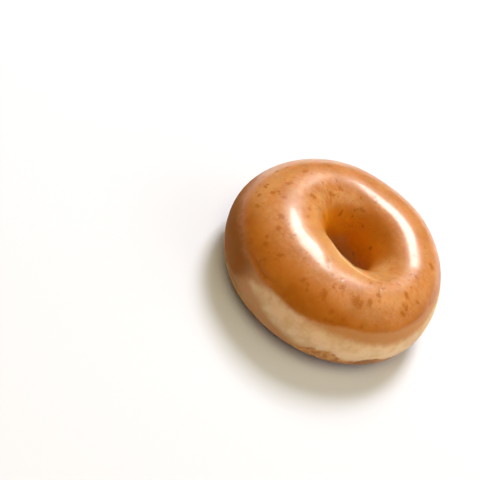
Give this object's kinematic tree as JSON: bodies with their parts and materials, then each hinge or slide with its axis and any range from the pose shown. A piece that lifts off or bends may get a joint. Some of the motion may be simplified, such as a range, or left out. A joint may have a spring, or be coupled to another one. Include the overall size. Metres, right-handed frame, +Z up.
{
  "type": "mini glazed doughnut",
  "caption": "Small ring doughnut of fried yeast dough under a thin clear sugar glaze, with a pale band round its side and a round hole.",
  "frame": {"origin": "on the table, under the middle of the ring's outline", "axes": "+Z up through the hole, -Y towards the side that the picture looks from, +X to its right"},
  "size_m": [0.0614, 0.0628, 0.0248],
  "materials": {
    "glazed_dough": "golden brown fried dough under a clear glossy sugar glaze, with a pale tan band round the side"
  },
  "bodies": {
    "root": {"doughnut": "glazed_dough"}
  },
  "joints": []
}
